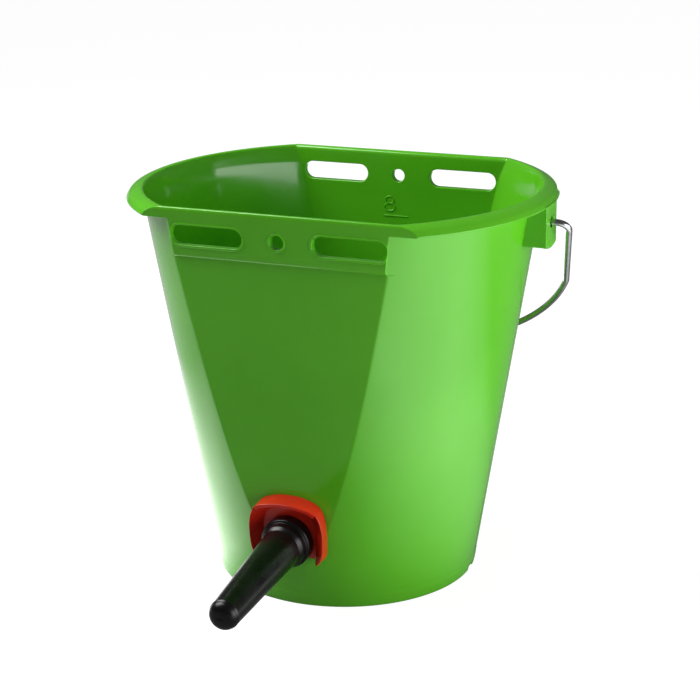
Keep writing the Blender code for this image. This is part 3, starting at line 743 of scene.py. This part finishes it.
def bail_path():
    """The wire's centre line as (x, drop) in the bail's own plane, from one hooked end to the other."""
    hook_tip = (HOOK_X, -HOOK_REACH)
    hook_corner = (HOOK_X, 0.0)
    shoulder = (LEG_X_AT_PIVOT, 0.0)
    kink = (LEG_X_AT_PIVOT - LEG_LEAN * KINK_DROP, KINK_DROP)
    arc_start = math.asin((KINK_DROP + 0.004 - ARC_CENTRE_DROP) / ARC_RADIUS)
    arc = [
        Vector((ARC_RADIUS * math.cos(a), ARC_CENTRE_DROP + ARC_RADIUS * math.sin(a)))
        for a in levels(arc_start, math.pi - arc_start, 90)
    ]
    half = [Vector(hook_tip)]
    half += bend(hook_corner, hook_tip, shoulder, HOOK_BEND, 10)
    half += bend(shoulder, hook_corner, kink, SHOULDER_BEND, 14)
    half += bend(kink, shoulder, arc[0], KINK_BEND, 8)
    return half + arc + [Vector((-point.x, point.y)) for point in reversed(half)]


def build_bail(material):
    """One bent wire, hanging at the rear as the photograph shows it."""
    curve = bpy.data.curves.new("bail_wire", "CURVE")
    curve.dimensions = "3D"
    curve.bevel_depth = WIRE_RADIUS
    curve.bevel_resolution = 6
    curve.use_fill_caps = True
    spline = curve.splines.new("POLY")
    path = bail_path()
    tilt = Matrix.Rotation(BAIL_REST_ANGLE, 4, "X")
    place = Matrix.Translation((0.0, AXIS_Y, PIVOT_Z)) @ tilt
    spline.points.add(len(path) - 1)
    for point, where in zip(spline.points, path):
        point.co = (*(place @ Vector((where.x, 0.0, -where.y))), 1.0)
    spline.use_smooth = True
    wire = bpy.data.objects.new("bail_wire", curve)
    bpy.context.scene.collection.objects.link(wire)
    finish_piece(wire, material, "bail", "zinc_wire", "bail_handle")


# ---------------- valve

def build_valve_body(material):
    """The tube through the wall: chamber and flange inside, the clip's groove and the spigot outside."""
    flange_front = -WALL - SEAL_THICKNESS - 2 * GAP
    flange_back = flange_front - FLANGE_THICKNESS
    body = rounded([
        (CHAMBER_RADIUS, CHAMBER_END, 0.0003), (CHAMBER_OUTER_RADIUS, CHAMBER_END, 0.0003),
        (CHAMBER_OUTER_RADIUS, flange_back, 0.0010), (FLANGE_RADIUS, flange_back, 0.0009),
        (FLANGE_RADIUS, flange_front, 0.0003), (VALVE_TUBE_RADIUS, flange_front, 0),
        (VALVE_TUBE_RADIUS, 0.0, 0.0002), (GROOVE_RADIUS, 0.0, 0.0002),
        (GROOVE_RADIUS, GROOVE_WIDTH, 0.0002), (VALVE_TUBE_RADIUS, GROOVE_WIDTH, 0.0002),
        (VALVE_TUBE_RADIUS, SPIGOT_START, 0.0010), (SPIGOT_RADIUS, SPIGOT_START, 0.0004),
        (SPIGOT_RADIUS, 0.0180, 0.0003), (0.0066, 0.0190, 0.0003), (0.0052, 0.0240, 0.0003),
        (MILK_BORE_RADIUS, 0.0240, 0.0003), (MILK_BORE_RADIUS, -0.0040, 0.0002),
        (CHAMBER_RADIUS, -0.0040, 0.0004),
    ])
    tube = turned(body, 80)
    add_piece("valve_tube", tube, VALVE_PLACE, 35, material, "bucket", "valve_plastic", "valve_body")


def build_seal(material):
    front = -WALL - GAP
    back = front - SEAL_THICKNESS
    outer_radius = 0.0165
    seal = rounded([
        (OVER_TUBE_RADIUS, back, 0.0004), (outer_radius, back, 0.0005),
        (outer_radius, front, 0.0005), (OVER_TUBE_RADIUS, front, 0.0004),
    ])
    ring = turned(seal, 80)
    add_piece("flat_seal", ring, VALVE_PLACE, 40, material, "bucket", "seal_rubber", "valve_seal")


def build_ball(material):
    ball = bmesh.new()
    place = Matrix.Translation((0, 0, BALL_REST))
    bmesh.ops.create_icosphere(ball, subdivisions=4, radius=BALL_RADIUS, matrix=place)
    add_piece("check_ball", ball, VALVE_PLACE, 80, material, "ball", "ball_plastic", "valve_ball")


def build_cap(material):
    """The cap on the ball's chamber, whose hole is the ball's seat, with finger grips round its side."""
    seat = CHAMBER_END - GAP
    back = seat - CAP_THICKNESS
    cap = rounded([
        (MILK_BORE_RADIUS, back, 0.0004), (CAP_RADIUS, back, 0.0010),
        (CAP_RADIUS, CAP_MOUTH, 0.0004), (CAP_INNER_RADIUS, CAP_MOUTH, 0.0003),
        (CAP_INNER_RADIUS, seat, 0), (0.0050, seat, 0.0002),
        (MILK_BORE_RADIUS, seat - 0.0010, 0.0002),
    ])
    builder = turned(cap, 120)
    grips_from = seat - 0.0022
    grips_to = -0.0144
    grips_outside = 0.0105
    for vertex in builder.verts:
        radius = math.hypot(vertex.co.x, vertex.co.y)
        if radius > grips_outside and grips_from < vertex.co.z < grips_to:
            wave = max(0.0, math.cos(CAP_GRIPS * math.atan2(vertex.co.y, vertex.co.x)))
            vertex.co.xy *= 1 - CAP_GRIP_DEPTH * wave / radius
    add_piece("ball_cap", builder, VALVE_PLACE, 35, material, "bucket", "valve_plastic", "valve_cap")


# ---------------- teat

def build_teat(material):
    """The collar over the valve, a tapering shaft that droops from its root, and a slit dome."""
    root = COLLAR_END + 0.0020
    socket_end = SPIGOT_START + GAP
    dome_start = TEAT_LENGTH - TEAT_DOME
    bore_end = TEAT_LENGTH - TEAT_TIP_WALL
    outside = rounded(
        [
            (OVER_TUBE_RADIUS, GROOVE_WIDTH, 0),
            (COLLAR_RADIUS, GROOVE_WIDTH, 0.0012),
            (COLLAR_RADIUS, COLLAR_END - 0.0018, 0.0018),
            (COLLAR_RADIUS - 0.0018, COLLAR_END - 0.0008, 0.0008),
            (TEAT_ROOT_RADIUS + 0.0017, COLLAR_END + 0.0035, 0.0026),
            (TEAT_ROOT_RADIUS + 0.0002, COLLAR_END + 0.0062, 0.0030),
            (TEAT_END_RADIUS, dome_start - 0.0016, 0),
        ],
        steps=8,
        closed=False,
    )
    shaft = [tuple(outside[-2].lerp(outside[-1], t)) for t in levels(0.0, 1.0, 24)[1:]]
    profile = [tuple(point) for point in outside[:-1]] + shaft
    # Moulded edge and crease where the dome starts
    profile += [
        (TEAT_END_RADIUS + 0.00012, dome_start - 0.0008),
        (TEAT_END_RADIUS + 0.00006, dome_start - 0.0001),
        (TEAT_END_RADIUS - 0.0004, dome_start + 0.0003),
    ]
    for turn in levels(12, 90, 12):
        angle = math.radians(turn)
        radius = (TEAT_END_RADIUS - 0.0003) * math.cos(angle) ** 0.72 if turn < 90 else 0.0
        profile.append((radius, dome_start + (TEAT_LENGTH - dome_start) * math.sin(angle)))
    profile += [
        (0.0, bore_end), (0.0042, bore_end - 0.0015), (0.0060, bore_end - 0.0050),
        (TEAT_BORE_RADIUS, 0.0280), (TEAT_BORE_RADIUS, socket_end), (OVER_TUBE_RADIUS, socket_end),
    ]
    builder = turned(profile, 72)
    for vertex in builder.verts:
        vertex.co.y -= TEAT_DROOP * max(vertex.co.z - root, 0.0)
    teat = to_mesh_object("rubber_teat", builder, VALVE_PLACE)
    drop = TEAT_DROOP * (TEAT_LENGTH - root)
    slit = rounded([
        (-SLIT_HALF_LENGTH, -drop, 0), (0.0, -drop - SLIT_HALF_WIDTH, 0.002),
        (SLIT_HALF_LENGTH, -drop, 0), (0.0, -drop + SLIT_HALF_WIDTH, 0.002),
    ])
    cutter = loft([[(x, y, w) for x, y in slit] for w in (bore_end - 0.006, TEAT_LENGTH + 0.004)])
    apply_boolean(teat, to_mesh_object("slit", cutter, VALVE_PLACE), "DIFFERENCE")
    shade(teat, 50)
    finish_piece(teat, material, "bucket", "teat_rubber", "teat")


# ---------------- clip

# Half outlines of the clip as (x, v), from the right leg's tip up to the middle of the top. The back is the
# outer edge on the panel. The ridge and the inner line bound the wall's top. The dish is the wall's foot on
# the plate, and the neck is the plate's edge in the valve's groove. From LIP_START on, the wall is higher.
CLIP_BACK = (
    (0.0222, -0.0142), (0.0246, -0.0116), (0.0258, -0.0070), (0.0260, -0.0010), (0.0262, 0.0053),
    (0.0259, 0.0105), (0.0253, 0.0152), (0.0242, 0.0200), (0.0226, 0.0236), (0.0198, 0.0264),
    (0.0146, 0.0288), (0.0075, 0.0306), (0.0, 0.0310),
)
CLIP_RIDGE = (
    (0.0220, -0.0139), (0.0243, -0.0110), (0.0260, -0.0062), (0.0267, -0.0004), (0.0269, 0.0053),
    (0.0267, 0.0113), (0.0256, 0.0170), (0.0239, 0.0212), (0.0222, 0.0238), (0.0183, 0.0261),
    (0.0124, 0.0275), (0.0063, 0.0284), (0.0, 0.0287),
)
CLIP_INNER = (
    (0.0186, -0.0118), (0.0214, -0.0098), (0.0238, -0.0056), (0.0250, -0.0004), (0.0254, 0.0053),
    (0.0251, 0.0106), (0.0241, 0.0156), (0.0224, 0.0194), (0.0208, 0.0216), (0.0172, 0.0238),
    (0.0117, 0.0252), (0.0059, 0.0260), (0.0, 0.0262),
)
CLIP_DISH = (
    (0.0183, -0.0115), (0.0183, -0.0088), (0.0184, -0.0050), (0.0187, -0.0004), (0.0189, 0.0047),
    (0.0188, 0.0092), (0.0182, 0.0131), (0.0172, 0.0163), (0.0158, 0.0186), (0.0131, 0.0208),
    (0.0090, 0.0222), (0.0046, 0.0229), (0.0, 0.0231),
)
CLIP_NECK = (
    (0.0120, -0.0125), (0.0113, -0.0100), (0.01115, -0.0060), (0.01115, -0.0010), (0.0110, 0.0018),
    (0.0104, 0.0040), (0.0096, 0.0057), (0.0085, 0.0072), (0.0073, 0.0084), (0.0057, 0.0096),
    (0.0039, 0.01045), (0.0020, 0.0110), (0.0, 0.01115),
)
CLIP_OUTLINES = (CLIP_BACK, CLIP_RIDGE, CLIP_INNER, CLIP_DISH, CLIP_NECK)
LIP_START = 8


def smooth_point(points, s):
    """Point at s, from 0 to the last index, on a smooth curve that ends level."""
    k = min(int(s), len(points) - 2)
    t = s - k
    mirrored_end = (-points[-2][0], points[-2][1])
    extended = [points[0]] + list(points) + [mirrored_end]
    a, b, c, d = (Vector(point) for point in extended[k:k + 4])
    rise = (c - a) * (t / 2)
    curve = (a * 2 - b * 5 + c * 4 - d) * (t**2 / 2)
    return b + rise + curve + (b * 3 - a - c * 3 + d) * (t**3 / 2)


def softened(corners, radii):
    """Round every corner of a closed 3-D outline by at most its radius."""
    result = []
    count = len(corners)
    for k, (corner, radius) in enumerate(zip(corners, radii)):
        before = corners[k - 1] - corner
        after = corners[(k + 1) % count] - corner
        start = corner + before.normalized() * min(radius, before.length * 0.45)
        end = corner + after.normalized() * min(radius, after.length * 0.45)
        result += corner_curve(start, corner, end, 4)
    return result


def build_clip(material):
    """A horseshoe swept along its half outlines and mirrored, with a step where the lip starts."""
    last = len(CLIP_BACK) - 1
    plate_top = GAP + CLIP_PLATE
    stations = [last * part for part in levels(0.0, 1.0, 97)]
    stations = [s for s in stations if abs(s - LIP_START) > 0.06] + [LIP_START - 0.05, LIP_START + 0.05]
    half = []
    for s in sorted(stations):
        on_lip = s > LIP_START
        wall_top = CLIP_LIP_TOP if on_lip else CLIP_WALL_TOP
        back, ridge, inner, dish, neck = (smooth_point(points, s) for points in CLIP_OUTLINES)
        if not on_lip:
            inner = ridge.lerp(inner, 0.35)
        heights = (GAP, wall_top, wall_top, plate_top, plate_top, GAP)
        outline = (back, ridge, inner, dish, neck, neck)
        corners = [Vector((where.x, where.y, w)) for where, w in zip(outline, heights)]
        half.append(softened(corners, (0.0003, 0.0004, 0.0003, 0.0010, 0.0003, 0.0002)))
    left = [[Vector((-point.x, point.y, point.z)) for point in section] for section in half]
    sections = left + half[-2::-1]
    clip = loft(sections)
    add_piece("slide_clip", clip, VALVE_PLACE, 32, material, "clip", "red_plastic", "retaining_clip")


# ---------------- materials

class NodeBoard:
    """A material's node tree with short calls to add and join nodes."""

    def __init__(self, name):
        self.material = bpy.data.materials.new(name)
        self.material.use_nodes = True
        self.tree = self.material.node_tree
        self.shader = self.tree.nodes["Principled BSDF"]
        self.coordinates = self.add("ShaderNodeTexCoord").outputs["Object"]

    def add(self, kind, **settings):
        node = self.tree.nodes.new(kind)
        for key, value in settings.items():
            setattr(node, key, value)
        return node

    def join(self, source, target):
        self.tree.links.new(source, target)

    def noise(self, scale, detail=2.0, roughness=0.5, vector=None):
        """Noise over the object's own coordinates, or over the given vector."""
        texture = self.add("ShaderNodeTexNoise")
        for key, value in (("Scale", scale), ("Detail", detail), ("Roughness", roughness)):
            texture.inputs[key].default_value = value
        self.join(vector or self.coordinates, texture.inputs["Vector"])
        return texture.outputs["Fac"]

    def ramp(self, source, low, high, at_low, at_high):
        """Map source from low..high to at_low..at_high, held at the ends."""
        node = self.add("ShaderNodeMapRange")
        for key, value in zip(("From Min", "From Max", "To Min", "To Max"), (low, high, at_low, at_high)):
            node.inputs[key].default_value = value
        self.join(source, node.inputs["Value"])
        return node.outputs["Result"]

    def mix_colour(self, factor, first, second):
        """Mix two colours, each a tuple or a socket."""
        node = self.add("ShaderNodeMix", data_type="RGBA")
        self.join(factor, node.inputs["Factor"])
        for socket, value in ((node.inputs["A"], first), (node.inputs["B"], second)):
            if isinstance(value, tuple):
                socket.default_value = (*value, 1.0)
            else:
                self.join(value, socket)
        return node.outputs["Result"]

    def bump(self, height, strength, distance, normal=None):
        node = self.add("ShaderNodeBump")
        node.inputs["Strength"].default_value = strength
        node.inputs["Distance"].default_value = distance
        self.join(height, node.inputs["Height"])
        if normal is not None:
            self.join(normal, node.inputs["Normal"])
        return node.outputs["Normal"]

    def math(self, operation, first, second):
        """Combine two values, each a number or a socket."""
        node = self.add("ShaderNodeMath", operation=operation)
        for socket, value in zip(node.inputs, (first, second)):
            if isinstance(value, (int, float)):
                socket.default_value = value
            else:
                self.join(value, socket)
        return node.outputs["Value"]


def scratches(board, scale, angle, narrow):
    """Fine scratches in one direction: long thin noise, cut to its narrow crests."""
    mapping = board.add("ShaderNodeMapping")
    mapping.inputs["Rotation"].default_value = (0.3, angle, angle * 0.7)
    mapping.inputs["Scale"].default_value = (scale, scale * 0.03, scale * 0.05)
    board.join(board.coordinates, mapping.inputs["Vector"])
    streaks = board.noise(1.0, 1.0, vector=mapping.outputs["Vector"])
    return board.ramp(streaks, narrow, narrow + 0.05, 0.0, 1.0)


def green_plastic():
    """Injection-moulded polypropylene: glossy green with soft clouds, specks, scuffs and waviness."""
    board = NodeBoard("green_polypropylene")
    shader = board.shader
    cloud = board.ramp(board.noise(9.0, 3.0), 0.3, 0.7, 0.0, 1.0)
    base = board.mix_colour(cloud, (0.094, 0.445, 0.011), (0.114, 0.512, 0.018))
    specks = board.ramp(board.noise(900.0, 1.0), 0.70, 0.80, 0.0, 0.15)
    base = board.mix_colour(specks, base, (0.13, 0.55, 0.03))
    board.join(base, shader.inputs["Base Color"])
    scuffs = board.math("MAXIMUM", scratches(board, 900.0, 0.5, 0.72), scratches(board, 700.0, -0.9, 0.73))
    haze = board.ramp(board.noise(28.0, 4.0, 0.6), 0.35, 0.7, 0.09, 0.15)
    board.join(board.math("ADD", haze, board.math("MULTIPLY", scuffs, 0.03)), shader.inputs["Roughness"])
    waves = board.bump(board.noise(18.0, 1.0), 0.35, 0.0010)
    ripple = board.bump(board.noise(160.0, 2.0), 0.08, 0.0002, waves)
    board.join(board.bump(board.noise(2600.0, 1.0), 0.03, 0.0001, ripple), shader.inputs["Normal"])
    shader.inputs["IOR"].default_value = 1.49
    shader.inputs["Subsurface Weight"].default_value = 0.12
    shader.inputs["Subsurface Radius"].default_value = (0.4, 1.0, 0.2)
    shader.inputs["Subsurface Scale"].default_value = 0.002
    return board.material


# Rows of (colours, cloud, gloss, bumps, sockets). cloud is (noise, low, high) and mixes the colours, gloss is
# (noise, low, high, roughness at low, roughness at high), and a bump is (noise, strength, distance).
NOISE_MATERIALS = {
    # Red plastic, softly clouded and a little uneven in gloss
    "red_clip_plastic": (
        ((0.60, 0.020, 0.008), (0.70, 0.030, 0.012)), ((60.0, 3.0), 0.35, 0.7),
        ((140.0, 4.0), 0.3, 0.7, 0.16, 0.26),
        (((120.0, 1.0), 0.25, 0.0004), ((3000.0, 1.0), 0.08, 0.0001)), {"IOR": 1.48},
    ),
    # Near black rubber with a faint dusty haze and a fine moulded skin
    "black_teat_rubber": (
        ((0.0022, 0.0022, 0.0024), (0.0060, 0.0060, 0.0060)), ((90.0, 5.0, 0.65), 0.45, 0.8),
        ((70.0, 4.0), 0.3, 0.75, 0.23, 0.36),
        (((260.0, 2.0), 0.18, 0.0003), ((3500.0, 2.0), 0.10, 0.0001)), {"IOR": 1.38},
    ),
    "flat_seal_rubber": (
        ((0.012, 0.012, 0.013),), None, ((300.0, 3.0), 0.3, 0.7, 0.55, 0.75),
        (((2500.0, 2.0), 0.2, 0.0001),), {},
    ),
    # Bright zinc plating, mottled in colour and gloss
    "zinc_plated_wire": (
        ((0.40, 0.41, 0.42), (0.56, 0.57, 0.57)), ((240.0, 4.0, 0.6), 0.35, 0.7),
        ((420.0, 3.0), 0.3, 0.7, 0.12, 0.24), (((1800.0, 2.0), 0.12, 0.0001),), {"Metallic": 1.0},
    ),
    "black_valve_plastic": (
        ((0.018, 0.018, 0.020), (0.030, 0.030, 0.032)), ((120.0, 2.0), 0.3, 0.7),
        ((200.0, 3.0), 0.3, 0.7, 0.34, 0.48), (((2400.0, 1.0), 0.15, 0.0001),), {},
    ),
    "white_ball_plastic": (
        ((0.74, 0.74, 0.71), (0.82, 0.82, 0.80)), ((300.0, 2.0), 0.3, 0.7),
        ((500.0, 2.0), 0.3, 0.7, 0.22, 0.32), (), {},
    ),
}


def noise_material(name):
    """A material whose colour, roughness and surface follow noise, from its row in NOISE_MATERIALS."""
    colours, cloud, gloss, bumps, sockets = NOISE_MATERIALS[name]
    board = NodeBoard(name)
    inputs = board.shader.inputs
    if cloud is None:
        inputs["Base Color"].default_value = (*colours[0], 1.0)
    else:
        mask = board.ramp(board.noise(*cloud[0]), *cloud[1:], 0.0, 1.0)
        board.join(board.mix_colour(mask, *colours), inputs["Base Color"])
    board.join(board.ramp(board.noise(*gloss[0]), *gloss[1:]), inputs["Roughness"])
    normal = None
    for noise, strength, distance in bumps:
        normal = board.bump(board.noise(*noise), strength, distance, normal)
    if normal is not None:
        board.join(normal, inputs["Normal"])
    for key, value in sockets.items():
        inputs[key].default_value = value
    return board.material


# ---------------- stage, lights and camera

# The floor is even to the camera; to reflections and bounced light it is dim, with two bright areas
FLOOR_SEEN = 0.95
FLOOR_ALBEDO = 0.18
FLOOR_GLOW_RIGHT = 1.9
FLOOR_GLOW_LEFT_NEAR = 2.4
FLOOR_GLOW_LEFT_FAR = 0.4
FLOOR_GLOW_ELSEWHERE = 0.08
FLOOR_SWEEP = ((6.0, 0.0), (7.0, 0.12), (7.9, 0.5), (8.7, 1.2), (9.2, 2.2), (9.5, 6.0))
WORLD_STRENGTH = 0.10
SOFTBOXES = {
    # name: (place, aimed at, width, height, watts)
    "right_softbox": ((1.24, -0.13, 0.27), (0.05, 0.0, 0.14), 1.4, 0.62, 12.5),
    "left_top_softbox": ((-0.90, -0.10, 1.25), (0.0, 0.05, 0.20), 1.0, 1.0, 29.0),
}


def unseen_glow(board):
    """The floor's glow in reflections: bright at the object's right, and behind it on its left."""
    axes = board.add("ShaderNodeSeparateXYZ")
    board.join(board.coordinates, axes.inputs["Vector"])
    x, y, z = (axes.outputs[axis] for axis in "XYZ")
    right = board.math(
        "MULTIPLY",
        board.ramp(x, 0.08, 0.26, 0.0, FLOOR_GLOW_RIGHT),
        board.math("MINIMUM", board.ramp(y, 0.05, 0.30, 1.0, 0.0), board.ramp(y, -0.60, -0.20, 0.0, 1.0)),
    )
    left = board.math(
        "MULTIPLY",
        board.math(
            "MINIMUM",
            board.ramp(x, -0.10, -0.05, FLOOR_GLOW_LEFT_NEAR, 0.0),
            board.ramp(x, -0.42, -0.14, FLOOR_GLOW_LEFT_FAR, FLOOR_GLOW_LEFT_NEAR),
        ),
        board.ramp(y, -0.15, -0.02, 0.0, 1.0),
    )
    flat_part = board.ramp(z, 0.02, 0.10, 1.0, 0.0)
    glow = board.math("MULTIPLY", board.math("MAXIMUM", right, left), flat_part)
    return board.math("MAXIMUM", glow, FLOOR_GLOW_ELSEWHERE)


def build_floor():
    """A pale floor that curves up far away."""
    around = [2 * math.pi * i / 96 for i in range(96)]
    builder = loft([[(r * math.cos(a), r * math.sin(a), z) for a in around] for r, z in FLOOR_SWEEP])
    builder.faces.ensure_lookup_table()
    builder.faces.remove(builder.faces[-1])
    floor = to_mesh_object("studio_floor", builder, Matrix.Translation((0, 0, -0.0001)))
    board = NodeBoard("pale_floor")
    board.shader.inputs["Base Color"].default_value = (FLOOR_ALBEDO, FLOOR_ALBEDO, FLOOR_ALBEDO, 1.0)
    board.shader.inputs["Roughness"].default_value = 0.7
    board.shader.inputs["Emission Color"].default_value = (1.0, 1.0, 1.0, 1.0)
    rays = board.add("ShaderNodeLightPath")
    glow = board.add("ShaderNodeMix", data_type="FLOAT")
    board.join(rays.outputs["Is Camera Ray"], glow.inputs["Factor"])
    board.join(unseen_glow(board), glow.inputs["A"])
    glow.inputs["B"].default_value = FLOOR_SEEN
    board.join(glow.outputs["Result"], board.shader.inputs["Emission Strength"])
    floor.data.materials.append(board.material)


def build_lights():
    """A dim white world and the two softboxes."""
    world = bpy.data.worlds.new("studio")
    world.use_nodes = True
    background = world.node_tree.nodes["Background"]
    background.inputs["Color"].default_value = (1.0, 1.0, 1.0, 1.0)
    background.inputs["Strength"].default_value = WORLD_STRENGTH
    bpy.context.scene.world = world
    for name, (place, target, width, height, watts) in SOFTBOXES.items():
        lamp = bpy.data.lights.new(name, "AREA")
        lamp.shape = "RECTANGLE"
        lamp.size = width
        lamp.size_y = height
        lamp.energy = watts
        holder = bpy.data.objects.new(name, lamp)
        holder.location = place
        aim = Vector(target) - Vector(place)
        holder.rotation_euler = aim.to_track_quat("-Z", "Y").to_euler()
        bpy.context.scene.collection.objects.link(holder)


def build_camera():
    """The photograph's view: 22.4 degrees to the right of the front, 17.4 degrees down, 92 mm lens."""
    azimuth = math.radians(22.369)
    elevation = math.radians(17.432)
    roll = math.radians(-0.726)
    eye = Vector((0.46032, AXIS_Y - 1.10990, 0.53271))
    data = bpy.data.cameras.new("photo_camera")
    data.lens = 91.64
    data.sensor_width = 36.0
    camera = bpy.data.objects.new("photo_camera", data)
    turn = Matrix.Rotation(azimuth, 4, "Z") @ Matrix.Rotation(math.pi / 2 - elevation, 4, "X")
    camera.matrix_world = Matrix.Translation(eye) @ turn @ Matrix.Rotation(roll, 4, "Z")
    bpy.context.scene.collection.objects.link(camera)
    bpy.context.scene.camera = camera


def main():
    build_camera()
    build_floor()
    build_lights()
    bpy.context.scene.view_settings.view_transform = "Standard"
    green = green_plastic()
    build_bucket(green)
    build_level_marks(green)
    build_bail(noise_material("zinc_plated_wire"))
    valve_plastic = noise_material("black_valve_plastic")
    build_valve_body(valve_plastic)
    build_seal(noise_material("flat_seal_rubber"))
    build_ball(noise_material("white_ball_plastic"))
    build_cap(valve_plastic)
    build_teat(noise_material("black_teat_rubber"))
    build_clip(noise_material("red_clip_plastic"))


main()
